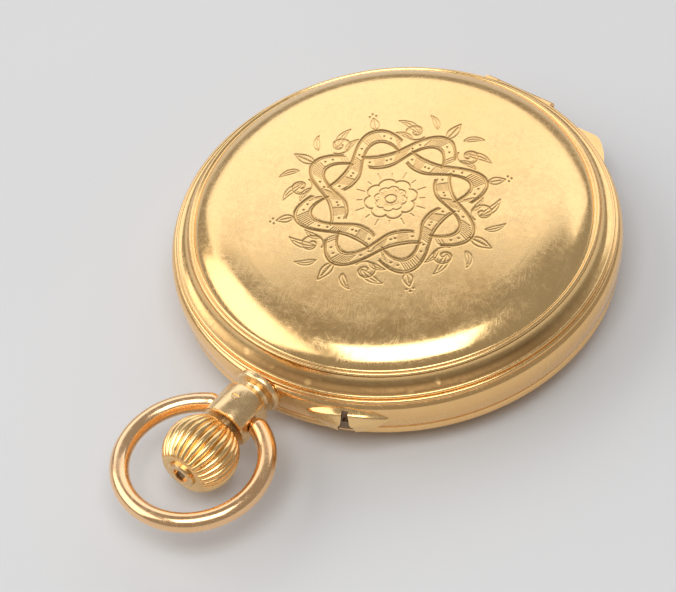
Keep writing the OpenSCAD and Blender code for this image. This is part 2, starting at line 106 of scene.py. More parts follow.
def rings_to_mesh(rings, closed=False):
    """Vertices and quads of a stack of equally long closed rings."""
    n, count = len(rings[0]), len(rings)
    verts = np.concatenate([np.asarray(r, float) for r in rings])
    faces = []
    for i in range(count if closed else count - 1):
        a, b = i * n, ((i + 1) % count) * n
        for k in range(n):
            m = (k + 1) % n
            faces.append((a + k, a + m, b + m, b + k))
    return verts, faces


def lathe_rings(profile, angles):
    """One ring of points about Z for each (radius, height)."""
    c, s = np.cos(angles), np.sin(angles)
    return [np.stack([r * c, r * s, np.full_like(c, z)], 1) for r, z in profile]


def lathe(name, profile, segments=360, sharp_deg=32):
    """A solid turned about Z from an outline of (radius, height), which may start and end on the axis."""
    angles = np.arange(segments) * TAU / segments
    solid = profile[0][0] == 0
    verts, faces = rings_to_mesh(lathe_rings(profile[1:-1] if solid else profile, angles), not solid)
    if solid:
        faces += [tuple(range(segments)), tuple(range(len(verts) - segments, len(verts)))]
    return fix_normals(new_object(name, verts, faces, sharp_deg))


def along_y(obj):
    """Lay a piece that was turned about Z along the pendant, so that +Z becomes -Y."""
    obj.data.transform(Matrix.Translation((0, 0, STEM_Z * MM)) @ Matrix.Rotation(math.radians(90), 4, "X"))
    return obj


def tube(name, path, radii, sides=32):
    """A closed tube along a path of 3D points, with one radius for each."""
    path, rings = [Vector(p) for p in path], []
    up = Vector((0, 0, 1))
    for i, p in enumerate(path):
        t = (path[min(i + 1, len(path) - 1)] - path[max(i - 1, 0)]).normalized()
        side = t.cross(up).normalized()
        top = side.cross(t)
        rings.append([tuple(p + radii[i] * (side * math.cos(a) + top * math.sin(a)))
                      for a in np.arange(sides) * TAU / sides])
    verts, faces = rings_to_mesh(rings)
    faces += [tuple(range(sides)), tuple(range(len(verts) - sides, len(verts)))]
    return fix_normals(new_object(name, verts, faces))


def rod(name, a, b, r, bevel=0.05, sides=48):
    """A straight rod between two points, with chamfered ends."""
    a, b = Vector(a), Vector(b)
    length = (b - a).length
    obj = lathe(name, [(0, 0), (r - bevel, 0), (r, bevel), (r, length - bevel),
                       (r - bevel, length), (0, length)], sides)
    turn = Vector((0, 0, 1)).rotation_difference(b - a).to_matrix().to_4x4()
    obj.data.transform(Matrix.Translation(a * MM) @ turn)
    return obj


def hinge_rod(name, x0, x1, axis, r, bevel=0.05):
    """A rod along X on a hinge's axis, which is given as (y, z)."""
    return rod(name, (x0, *axis), (x1, *axis), r, bevel)


def block(name, low, high):
    """A box between two corners, used to cut or join."""
    bm = bmesh.new()
    bmesh.ops.create_cube(bm, size=1)
    for v in bm.verts:
        v.co = Vector([(low[i] if v.co[i] < 0 else high[i]) * MM for i in range(3)])
    mesh = bpy.data.meshes.new(name)
    bm.to_mesh(mesh)
    bm.free()
    obj = bpy.data.objects.new(name, mesh)
    bpy.context.scene.collection.objects.link(obj)
    return obj


def prism(name, outline, z0, z1):
    """A flat plate with the given outline."""
    n = len(outline)
    verts = [(x, y, z) for z in (z0, z1) for x, y in outline]
    faces = [tuple(range(n)), tuple(range(n, 2 * n))]
    faces += [(i, (i + 1) % n, n + (i + 1) % n, n + i) for i in range(n)]
    return fix_normals(new_object(name, verts, faces))


def combine(obj, others, operation):
    """Apply exact booleans with the other objects, which are then removed."""
    for other in others:
        mod = obj.modifiers.new("cut", "BOOLEAN")
        mod.operation, mod.solver, mod.object = operation, "EXACT", other
        mod.material_mode = "TRANSFER"
        bpy.context.view_layer.update()
        done = obj.evaluated_get(bpy.context.evaluated_depsgraph_get())
        mesh = bpy.data.meshes.new_from_object(done)
        obj.modifiers.clear()
        obj.data = mesh
        bpy.data.objects.remove(other)
    obj.data.polygons.foreach_set("use_smooth", [True] * len(obj.data.polygons))
    obj.data.set_sharp_from_angle(angle=math.radians(32))
    return obj


# ---- materials ----

class Nodes:
    """Short calls that add and link shader nodes of one material."""

    def __init__(self, name, start=None):
        self.mat = start.copy() if start else bpy.data.materials.new(name)
        self.mat.name = name
        self.mat.use_nodes = True
        self.tree = self.mat.node_tree
        self.shader = self.tree.nodes["Principled BSDF"]
        self.coord = self.add("ShaderNodeTexCoord").outputs["Object"]

    def add(self, kind, **values):
        node = self.tree.nodes.new(kind)
        for key, value in values.items():
            setattr(node, key, value)
        return node

    def put(self, socket, value):
        if isinstance(value, bpy.types.NodeSocket):
            self.tree.links.new(value, socket)
        else:
            socket.default_value = value

    def math(self, op, a, b=0.0, c=0.0):
        node = self.add("ShaderNodeMath", operation=op)
        for socket, value in zip(node.inputs, (a, b, c)):
            self.put(socket, value)
        return node.outputs[0]

    def vector(self, op, a, b=None):
        node = self.add("ShaderNodeVectorMath", operation=op)
        self.put(node.inputs[0], a)
        if b:
            self.put(node.inputs[1], b)
        return node.outputs["Value" if op in ("LENGTH", "DOT_PRODUCT") else "Vector"]

    def noise(self, scale, detail=3.0, rough=0.5, stretch=None, turn=0.0):
        """Noise whose scale is in cycles per millimetre, if wanted stretched along a turned axis."""
        at = self.coord
        if stretch or turn:
            mapping = self.add("ShaderNodeMapping", vector_type="TEXTURE")
            mapping.inputs["Rotation"].default_value = (0, 0, turn)
            mapping.inputs["Scale"].default_value = stretch or (1, 1, 1)
            self.put(mapping.inputs["Vector"], at)
            at = mapping.outputs[0]
        node = self.add("ShaderNodeTexNoise")
        self.put(node.inputs["Vector"], at)
        node.inputs["Scale"].default_value = scale / MM
        node.inputs["Detail"].default_value = detail
        node.inputs["Roughness"].default_value = rough
        return node.outputs[0]

    def ramp(self, value, low, high):
        """A straight rise from 0 at low to 1 at high."""
        node = self.add("ShaderNodeMapRange")
        for key, v in zip(("Value", "From Min", "From Max"), (value, low, high)):
            self.put(node.inputs[key], v)
        return node.outputs[0]

    def steps(self, value, low, high, out_low=0.0, out_high=1.0):
        """A smooth rise between two levels."""
        node = self.add("ShaderNodeMapRange", interpolation_type="SMOOTHSTEP")
        for key, v in zip(("Value", "From Min", "From Max", "To Min", "To Max"),
                          (value, low, high, out_low, out_high)):
            self.put(node.inputs[key], v)
        return node.outputs[0]

    def mix(self, factor, a, b):
        node = self.add("ShaderNodeMix", data_type="RGBA")
        self.put(node.inputs["Factor"], factor)
        self.put(node.inputs["A"], a)
        self.put(node.inputs["B"], b)
        return node.outputs["Result"]

    def scratches(self, turn, freq=0.9, length=14.0, thin=0.03):
        """Hairlines along one direction: ridges of a stretched noise, broken into short strokes."""
        lines = self.noise(freq * 6, 2, 0.6, stretch=(1, length, length), turn=turn)
        line = self.steps(self.math("ABSOLUTE", self.math("SUBTRACT", lines, 0.5)), 0.0, thin, 1, 0)
        patch = self.noise(0.35, 2, 0.5, turn=turn + 1.0)
        return self.math("MULTIPLY", line, self.steps(patch, 0.5, 0.62))

    def swirls(self, size=7.0, freq=5.0, thin=0.05):
        """Circular wiping marks: arcs about the middles of large cells."""
        cells = self.add("ShaderNodeTexVoronoi")
        self.put(cells.inputs["Vector"], self.coord)
        cells.inputs["Scale"].default_value = 1 / (size * MM)
        wobble = self.noise(0.25, 2)
        wave = self.math("FRACT", self.math("ADD", self.math("MULTIPLY", cells.outputs["Distance"],
                         size * freq), self.math("MULTIPLY", wobble, 3.0)))
        line = self.steps(self.math("ABSOLUTE", self.math("SUBTRACT", wave, 0.5)), 0.0, thin, 1, 0)
        return self.math("MULTIPLY", line, self.steps(self.noise(0.5, 3), 0.52, 0.66))

    def bump(self, height, strength=0.2, distance=0.02):
        node = self.add("ShaderNodeBump")
        node.inputs["Strength"].default_value = strength
        node.inputs["Distance"].default_value = distance * MM
        self.put(node.inputs["Height"], height)
        self.put(self.shader.inputs["Normal"], node.outputs[0])

    def surface(self, colour, rough, metallic=1.0):
        self.put(self.shader.inputs["Base Color"], colour)
        self.put(self.shader.inputs["Roughness"], rough)
        self.shader.inputs["Metallic"].default_value = metallic
        return self.mat


def total(n, values):
    """The sum of several shader values."""
    out = values[0]
    for value in values[1:]:
        out = n.math("ADD", out, value)
    return out


def gold(name, base, deep, rough, wear_and_glint, lines=5):
    """Polished old gold: hairlines, wiping swirls, tiny dents and a slightly uneven alloy colour, with a
    painted glint that tints the hairlines and swirls paler.
    """
    n = Nodes(name)
    cloud = n.noise(0.06, 4, 0.55)
    fine = n.noise(1.6, 4, 0.6)
    hair = total(n, [n.scratches(0.5 + i * 1.27, 0.55 + 0.12 * i, 22) for i in range(lines)]
                 + [n.scratches(0.2 + i * 0.83, 0.3, 40, 0.014) for i in range(3)])
    swirl = n.swirls(thin=0.08)
    colour = n.mix(n.steps(cloud, 0.35, 0.68), base, deep)
    marks = n.math("MINIMUM", n.math("ADD", hair, n.math("MULTIPLY", swirl, 0.7)), 1.0)
    # painted glint: the hairlines and swirls are tinted paler, as where they catch the light
    colour = n.mix(n.math("MULTIPLY", marks, 0.12 * wear_and_glint), colour, (1.0, 0.86, 0.55, 1))
    roughness = n.math("ADD", n.steps(fine, 0.3, 0.75, rough * 0.8, rough * 1.3),
                       n.math("MULTIPLY", marks, 0.12 * wear_and_glint))
    dents = n.steps(n.noise(0.45, 1, 0.4), 0.3, 0.75)
    height = n.math("SUBTRACT", n.math("MULTIPLY", dents, 0.04), n.math("MULTIPLY", marks, 0.12 * wear_and_glint))
    n.bump(n.math("ADD", height, n.math("MULTIPLY", fine, 0.012)), 0.30, 0.012)
    return n.surface(colour, roughness)


def plain_metal(name, base, deep, rough, grain=(1, 1, 1), grain_scale=4.0, strength=0.25):
    """Steel, nickel or gilt brass with a grain and faint hairlines."""
    n = Nodes(name)
    cloud = n.noise(0.3, 3)
    lines = n.noise(grain_scale, 3, 0.6, stretch=grain)
    hair = n.scratches(0.9, 1.4)
    colour = n.mix(n.steps(cloud, 0.35, 0.7), base, deep)
    roughness = n.math("ADD", n.steps(lines, 0.3, 0.7, rough * 0.75, rough * 1.3),
                       n.math("MULTIPLY", hair, 0.1))
    n.bump(n.math("SUBTRACT", lines, n.math("MULTIPLY", hair, 0.5)), strength, 0.01)
    return n.surface(colour, roughness)


def striped_nickel(name):
    """Frosted nickel with broad straight stripes, each cut at a slight slope and painted from light to dark
    across its width, a painted shade of that slope.
    """
    n = Nodes(name)
    split = n.add("ShaderNodeSeparateXYZ")
    n.put(split.inputs[0], n.coord)
    across = n.math("ADD", n.math("MULTIPLY", split.outputs["X"], 0.8),
                    n.math("MULTIPLY", split.outputs["Y"], 0.6))
    stripe = n.math("FRACT", n.math("DIVIDE", across, 1.9 * MM))
    grain = n.noise(5.0, 3, 0.6, stretch=(1, 16, 1), turn=-0.93)
    # painted shade: each stripe's colour runs from light to dark across its sloped width
    colour = n.mix(stripe, (0.80, 0.79, 0.75, 1), (0.66, 0.65, 0.62, 1))
    roughness = n.steps(grain, 0.3, 0.7, 0.22, 0.36)
    n.bump(n.math("ADD", n.math("MULTIPLY", stripe, 1.5), n.math("MULTIPLY", grain, 0.4)), 0.35, 0.03)
    return n.surface(colour, roughness)


def glossy(name, base, deep, rough):
    """A coated, faintly mottled non-metal: enamel, ruby, and a dark brown dirt that paints the shade in the
    pin's slot.
    """
    n = Nodes(name)
    cloud = n.noise(0.25, 4)
    fine = n.noise(3.0, 3)
    colour = n.mix(n.steps(cloud, 0.3, 0.75), base, deep)
    n.bump(fine, 0.06, 0.02)
    n.shader.inputs["Coat Weight"].default_value = 0.5
    n.shader.inputs["Coat Roughness"].default_value = 0.05
    return n.surface(colour, n.steps(fine, 0.3, 0.7, rough, rough * 1.4), 0.0)


def clear_glass(name):
    """Clear glass with faint smears and hairlines."""
    n = Nodes(name)
    smear = n.noise(0.2, 4)
    n.shader.inputs["Transmission Weight"].default_value = 1.0
    n.shader.inputs["IOR"].default_value = 1.5
    n.bump(n.scratches(0.7, 0.7), 0.05, 0.005)
    return n.surface((0.96, 0.98, 0.98, 1), n.steps(smear, 0.4, 0.8, 0.01, 0.05), 0.0)


def floor_paper(name):
    """Plain pale card for the floor."""
    n = Nodes(name)
    fibre = n.noise(1.2, 5, 0.6)
    cloud = n.noise(0.01, 3)
    colour = n.mix(n.steps(cloud, 0.3, 0.7), (0.64, 0.648, 0.665, 1), (0.66, 0.668, 0.682, 1))
    n.bump(fibre, 0.05, 0.05)
    n.shader.inputs["Specular IOR Level"].default_value = 0.25
    return n.surface(colour, n.steps(fibre, 0.3, 0.7, 0.5, 0.6), 0.0)


MAT = {
    "gold": gold("gold_polished", (0.97, 0.66, 0.30, 1), (0.93, 0.605, 0.26, 1), 0.17, 1.0, 6),
    "gold_band": gold("gold_band", (0.98, 0.635, 0.29, 1), (0.92, 0.57, 0.24, 1), 0.17, 0.8),
    "gold_rose": gold("gold_rose", (0.98, 0.65, 0.37, 1), (0.93, 0.57, 0.29, 1), 0.16, 0.9),
    "gold_worn": gold("gold_worn", (0.96, 0.70, 0.38, 1), (0.86, 0.58, 0.29, 1), 0.23, 1.5),
    "gold_inner": gold("gold_inner", (0.90, 0.68, 0.34, 1), (0.85, 0.62, 0.30, 1), 0.10, 0.5),
    "steel": plain_metal("steel_polished", (0.74, 0.75, 0.77, 1), (0.60, 0.61, 0.64, 1), 0.18),
    "steel_grained": plain_metal("steel_grained", (0.70, 0.71, 0.73, 1), (0.55, 0.56, 0.58, 1), 0.26,
                                 (1, 12, 1), 6.0),
    "steel_dark": plain_metal("steel_dark", (0.34, 0.24, 0.15, 1), (0.16, 0.11, 0.07, 1), 0.4),
    "blued": plain_metal("steel_blued", (0.03, 0.06, 0.24, 1), (0.06, 0.04, 0.20, 1), 0.2),
    "brass": plain_metal("brass_gilt", (0.86, 0.66, 0.30, 1), (0.74, 0.54, 0.23, 1), 0.24,
                         (1, 10, 1), 5.0),
    "nickel": striped_nickel("nickel_striped"),
    "nickel_frosted": plain_metal("nickel_frosted", (0.76, 0.75, 0.71, 1), (0.66, 0.65, 0.61, 1), 0.38,
                                  (1, 1, 1), 9.0, 0.6),
    "enamel": glossy("enamel_white", (0.90, 0.89, 0.85, 1), (0.86, 0.85, 0.80, 1), 0.12),
    "ink": glossy("enamel_black", (0.02, 0.02, 0.025, 1), (0.035, 0.03, 0.03, 1), 0.2),
    "ruby": glossy("ruby", (0.55, 0.02, 0.10, 1), (0.42, 0.01, 0.07, 1), 0.06),
    "glass": clear_glass("glass"),
    # dark brown for the walls of the pin's slot and hole: painted shade in the recess, looking like caked
    # dirt
    "dirt_and_slot_shade": glossy("dirt_and_slot_shade", (0.30, 0.17, 0.085, 1), (0.18, 0.10, 0.05, 1), 0.6),
}


def dress(obj, material, body, replaces=None):
    """Give a new piece its material and body, and hide the CAD node that it stands for."""
    if material:
        obj.data.materials.clear()
        obj.data.materials.append(MAT[material])
    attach(obj, body)
    if replaces:
        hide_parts(replaces)
    return obj


# ---- the engraved lid ----

def stroke(points, step=0.03):
    """Evenly spaced points along a polyline."""
    p = np.asarray(points, float)
    d = np.hypot(*np.diff(p, axis=0).T)
    s = np.concatenate([[0], np.cumsum(d)])
    t = np.arange(0, s[-1], step)
    return np.stack([np.interp(t, s, p[:, 0]), np.interp(t, s, p[:, 1])], 1)


def polar(r, a):
    """Points from radii and angles."""
    return np.stack([r * np.cos(a), r * np.sin(a)], -1)


def spiral(centre, r0, r1, a0, turns, n=80):
    """A curl that opens or closes from one radius to another."""
    t = np.linspace(0, 1, n)
    return np.asarray(centre) + polar(r0 + (r1 - r0) * t ** 0.8, a0 + turns * TAU * t)


def leaf(base, angle, length, width, curl, n=24):
    """Outline and midrib of a pointed leaf that bends to one side."""
    t = np.linspace(0, 1, n)
    a = angle + curl * t
    spine = np.asarray(base) + np.cumsum(polar(np.full(n, length / n), a), 0)
    half = width * np.sin(math.pi * t ** 0.8)[:, None] * polar(np.ones(n), a + math.pi / 2)
    return [spine + half, spine - half, spine[: int(n * 0.8)]]


def ornament():
    """A four-fold wreath of two interlaced straps, a rosette, leaf scrolls and dots.

    Each cut is its points, its half width and its depth.
    """
    cuts = []
    ring = np.linspace(0, TAU, 721)
    for shift in (0, math.pi / 4):
        wave = 7.4 + 2.0 * np.cos(4 * (ring - shift)) + 0.35 * np.cos(8 * (ring - shift))
        over = np.cos(4 * ring + (math.pi / 2 if shift else -math.pi / 2)) > -0.93
        for offset, width in ((-0.95, 0.16), (0.95, 0.16), (-0.68, 0.07), (0.68, 0.07)):
            line = polar(wave + offset, ring)
            cuts += [(line[run], width, 0.07) for run in runs(over)]
        for k in np.arange(0, 720, 3):
            if over[k] and math.sin(16 * (ring[k] - shift) + 0.6) > 0.0:
                lean = 0.02 if shift else -0.02
                cuts.append((polar(wave[k] + np.array([-0.6, 0.6]), ring[k] + np.array([-lean, lean])),
                             0.07, 0.045))
            elif over[k] and k % 9 == 0:
                spot = polar(wave[k], ring[k])
                cuts.append((spot + polar(np.full(7, 0.05), np.linspace(0, TAU, 7)), 0.12, 0.05))
    petals = 2.35 + 0.55 * np.abs(np.cos(4 * ring)) ** 0.6
    cuts += [(polar(petals, ring), 0.11, 0.05), (polar(petals * 0.62, ring + TAU / 16), 0.08, 0.045)]
    cuts.append((polar(np.full(90, 0.62), ring[::8][:90]), 0.12, 0.05))
    for k in range(48):
        cuts.append((polar(np.array([0.85, 1.5 if k % 2 else 1.25]), np.full(2, k * TAU / 48)), 0.045, 0.03))
    for k in range(16):
        ray = polar(np.array([3.15, 4.1 - 0.35 * (k % 2)]), np.full(2, (k + 0.5) * TAU / 16))
        cuts.append((ray, 0.07, 0.04))
    for a in np.arange(4) * TAU / 4:
        for side in (-1, 1):
            eye = polar(np.array(10.35), np.array(a + side * 0.36))
            cuts.append((spiral(eye, 0.25, 1.35, a + side * 2.4, side * 1.35), 0.12, 0.05))
            cuts.append((spiral(eye, 0.12, 0.95, a + side * 2.4, side * 1.1), 0.06, 0.035))
            for r, turn, length, width in ((10.1, 0.62, 3.4, 0.42), (11.3, 0.12, 2.5, 0.34),
                                           (9.0, 0.78, 2.4, 0.3)):
                base = polar(np.array(r), np.array(a + side * (0.12 + 0.3 * turn)))
                for line in leaf(base, a + side * (0.35 + turn), length, width, side * 0.9):
                    cuts.append((line, 0.085, 0.045))
        tip = polar(np.array(10.4), np.array(a))
        for line in leaf(tip, a, 2.9, 0.55, 0.0):
            cuts.append((line, 0.11, 0.05))
        for k in range(7):
            at = tip + polar(np.array(0.5 + 0.3 * k), np.array(a))
            for side in (-1, 1):
                barb = np.array([at, at + polar(np.array(0.34), np.array(a + side * 0.7))])
                cuts.append((barb, 0.05, 0.03))
        mid = a + TAU / 8
        for line in leaf(polar(np.array(10.7), np.array(mid)), mid, 2.0, 0.5, 0.0):
            cuts.append((line, 0.1, 0.045))
        for k, (dr, da) in enumerate(((13.35, 0.0), (13.0, 0.028), (13.0, -0.028))):
            spot = polar(np.array(dr), np.array(mid + da))
            cuts.append((spot + polar(np.full(9, 0.05), np.linspace(0, TAU, 9)), 0.12, 0.05))
    return cuts


def runs(flags):
    """Slices of more than three points over which the flags stay true."""
    edges = np.flatnonzero(np.diff(np.concatenate([[0], flags.astype(int), [0]])))
    return [slice(a, b) for a, b in zip(edges[::2], edges[1::2]) if b - a > 3]


def engraving_height(cell=0.04, half=14.2):
    """Height of the engraving from the surface on a square grid, with its cell and half its width."""
    size = int(2 * half / cell) + 1
    height = np.zeros(size * size)
    for points, width, depth in ornament():
        samples = stroke(points)
        reach = int(width / cell) + 2
        base = np.round((samples + half) / cell).astype(int)
        for dx in range(-reach, reach + 1):
            for dy in range(-reach, reach + 1):
                ix, iy = base[:, 0] + dx, base[:, 1] + dy
                gap = np.hypot(ix * cell - half - samples[:, 0], iy * cell - half - samples[:, 1])
                deep = -depth * np.clip(1.0 - gap / width, 0, 1) ** 0.8
                ok = (ix >= 0) & (iy >= 0) & (ix < size) & (iy < size)
                np.minimum.at(height, (iy * size + ix)[ok], deep[ok])
    return height.reshape(size, size), cell, half


def sample(grid, cell, half, x, y):
    """The grid's value between its points, and nothing outside it."""
    fx, fy = (x + half) / cell, (y + half) / cell
    inside = (fx > 0) & (fy > 0) & (fx < grid.shape[1] - 2) & (fy < grid.shape[0] - 2)
    ix, iy = np.clip(fx.astype(int), 0, grid.shape[1] - 2), np.clip(fy.astype(int), 0, grid.shape[0] - 2)
    tx, ty = fx - ix, fy - iy
    value = ((grid[iy, ix] * (1 - tx) + grid[iy, ix + 1] * tx) * (1 - ty)
             + (grid[iy + 1, ix] * (1 - tx) + grid[iy + 1, ix + 1] * tx) * ty)
    return np.where(inside, value, 0.0)


CROWN_OF_DOME = 0.00125   # the lid falls away from its middle by this times the radius squared


def dome(r, top):
    """Height of the domed lid at a radius."""
    return top - CROWN_OF_DOME * r * r


def back_profile():
    """The engraved lid's outline from the edge of its field outwards, down its lip and back inside."""
    top = CASE_T
    outer = [(r, dome(r, top)) for r in np.linspace(FIELD_R, 17.0, 6)[1:]]
    radii = np.linspace(17.0, 22.0, 61)
    lean = np.interp(radii, (17, 18.6, 19.5, 21.3, 21.8, 22), np.radians((2.4, 8, 18, 35, 48, 58)))
    fall = np.cumsum(np.tan(lean)) * (radii[1] - radii[0])
    outer += list(zip(radii[1:], outer[-1][1] - fall[1:]))
    outer += arc((22.42, 10.02), 0.22, 150, -20, 12) + arc((24.35, 10.25), 1.78, 191, 262, 14)
    outer += arc((24.05, 8.36), 0.2, 110, -60, 10) + [(24.05, SEAM_BACK)]
    inner = [(23.3, SEAM_BACK), (23, 8.45), (22.35, 8.85), (21.75, 9.75)] + arc((19, 9.3), 2.5, 15, 85, 8)
    inner += [(r, dome(r, top) - 0.5) for r in (17.0, 14.0, 9.0, 4.0, 0.001)]
    return outer, inner


def engraved_lid(cells=380):
    """One closed mesh: a square grid bent to a disc, then rings out to the lip and back inside."""
    grid, cell, half = engraving_height()
    u = np.linspace(-1, 1, cells + 1)
    uu, vv = np.meshgrid(u, u)
    x = FIELD_R * uu * np.sqrt(1 - vv * vv / 2)
    y = FIELD_R * vv * np.sqrt(1 - uu * uu / 2)
    cut = sample(grid, cell, half, x.ravel(), y.ravel())
    z = dome(np.hypot(x, y).ravel(), CASE_T) + cut
    verts = [np.stack([x.ravel(), y.ravel(), z], 1)]
    n = cells + 1
    i, j = np.meshgrid(np.arange(cells), np.arange(cells), indexing="ij")
    a = (i * n + j).ravel()
    faces = np.stack([a, a + 1, a + n + 1, a + n], 1).tolist()
    edge = (list(range(cells)) + [k * n + cells for k in range(cells)]
            + [cells * n + k for k in range(cells, 0, -1)] + [k * n for k in range(cells, 0, -1)])
    angles = np.arctan2(y.ravel()[edge], x.ravel()[edge])
    outer, inner = back_profile()
    rings = lathe_rings(outer + inner, angles)
    start, m = n * n, len(edge)
    verts += rings
    loops = [edge] + [list(range(start + r * m, start + (r + 1) * m)) for r in range(len(rings))]
    for one, two in zip(loops, loops[1:]):
        faces += [(one[k], one[(k + 1) % m], two[(k + 1) % m], two[k]) for k in range(m)]
    faces.append(tuple(loops[-1]))
    lid = new_object("engraved_lid", np.concatenate(verts), faces, 60)
    # the depth of each cut, which the material uses to paint shade in the cuts
    shade = lid.data.attributes.new("cut", "FLOAT", "POINT")
    values = np.zeros(len(lid.data.vertices), np.float32)
    values[: n * n] = -cut / 0.06
    shade.data.foreach_set("value", values)
    return lid


HOLLOW_DARK_FROM, HOLLOW_DARK_TO = (22.6, 23.1), (24.15, 23.85)    # radii where the hollow's darkening, dirt with a painted dark reflection, fades in and out
DARK_REFLECTION_SIDE, DARK_REFLECTION_REACH = (0.62, -0.78, 0), (7, 19)    # the side of the lid, towards the camera, on which the dark reflection is painted, and how far out it fades in


def engraved_gold():
    """The polished gold with painted shade in the cuts, and a mottled dull darkening in part of the hollow
    round the dome: dirt, with a painted dark reflection on the side that faces the camera.
    """
    n = Nodes("gold_engraved", MAT["gold"])
    clean = n.shader.inputs["Base Color"].links[0].from_socket
    polish = n.shader.inputs["Roughness"].links[0].from_socket
    cut = n.add("ShaderNodeAttribute", attribute_name="cut").outputs["Fac"]
    # painted shade: the engraved cuts are darkened by their depth
    colour = n.mix(n.ramp(cut, 0.1, 0.8), clean, (0.42, 0.25, 0.085, 1))
    radius = n.vector("LENGTH", n.vector("MULTIPLY", n.coord, (1, 1, 0)))
    dirt_and_dark_reflection = n.ramp(radius, HOLLOW_DARK_FROM[0] * MM, HOLLOW_DARK_FROM[1] * MM)
    dirt_and_dark_reflection = n.math("MULTIPLY", dirt_and_dark_reflection, n.ramp(radius, HOLLOW_DARK_TO[0] * MM, HOLLOW_DARK_TO[1] * MM))
    dirt_and_dark_reflection = n.math("MULTIPLY", dirt_and_dark_reflection, n.ramp(n.noise(0.55, 4), 0.1, 0.42))
    # painted dark reflection: the darkening is kept to the side of the hollow that faces the camera
    toward = n.vector("DOT_PRODUCT", n.coord, DARK_REFLECTION_SIDE)
    dirt_and_dark_reflection = n.math("MULTIPLY", dirt_and_dark_reflection, n.ramp(toward, DARK_REFLECTION_REACH[0] * MM, DARK_REFLECTION_REACH[1] * MM))
    return n.surface(n.mix(dirt_and_dark_reflection, colour, (0.27, 0.155, 0.06, 1)), n.math("MULTIPLY_ADD", dirt_and_dark_reflection, 0.3, polish))


MAT["gold_engraved"] = engraved_gold()
dress(engraved_lid(), "gold_engraved", "back_lid", "back_cover")
for side in (-1, 1):
    word = "left" if side < 0 else "right"
    knuckle = hinge_rod(f"back_lid_knuckle_{word}", side * 2.95, side * 4.45, BACK_AXIS, 0.6)
    arm = block("arm", (side * 3.7 - 0.74, BACK_AXIS[0] - 0.6, BACK_AXIS[1]),
                (side * 3.7 + 0.74, BACK_AXIS[0] - 0.02, SEAM_BACK + 0.2))
    dress(combine(knuckle, [arm], "UNION"), "gold_band", "back_lid")


# ---- the dial-side lid and the band ----

# outline of the plate that carries the front hinge, from its outer edge back into the band
LUG_END = [(9.8, FRONT_AXIS[0]), (10.5, 24.75), (11.3, 24.1), (12.2, 23.1), (13.1, 21.8),
           (13.8, 20.5), (14, 18)]
LUG = [(-x, y) for x, y in reversed(LUG_END)] + LUG_END


def front_lid():
    """The plain dial-side lid, with its step, its lug and two hinge barrels."""
    outline = [(0, 0)] + arc((19.9, 2.6), 2.6, -90, -24, 24)
    outline += arc((22.45, 1.75), 0.25, -100, -20, 8) + arc((24.5, 1.15), 1.8, 165, 98, 14)
    outline += arc((24.35, 3.1), 0.25, -100, 0, 8)
    outline += [(24.6, SEAM_FRONT - 0.3), (24.5, SEAM_FRONT - 0.12), (24.25, SEAM_FRONT)]
    outline += [(23.9, SEAM_FRONT), (23.9, 3.5), (22.9, 2.95), (22.3, 2.25)]
    outline += arc((19.9, 2.6), 2.1, -20, -90, 14) + [(0, 0.5)]
    obj = lathe("dial_side_lid", outline, 720)
    plate = prism("plate", LUG, 2.95, SEAM_FRONT - 0.05)
    combine(plate, [lathe("inner", [(0, 2), (23.9, 2), (23.9, 5), (0, 5)], 360)], "DIFFERENCE")
    barrels = [hinge_rod("barrel", s * 4 - 1.95, s * 4 + 1.95, FRONT_AXIS, 0.7) for s in (-1, 1)]
    combine(obj, [plate] + barrels, "UNION")
    gaps = [(-10.2, -5.95), (-2.05, 2.05), (5.95, 10.2)]
    cuts = [hinge_rod("gap", a, b, FRONT_AXIS, 0.8, SHARP) for a, b in gaps]
    cuts.append(hinge_rod("pin_hole", -12, 12, FRONT_AXIS, 0.32, SHARP))
    return combine(obj, cuts, "DIFFERENCE")


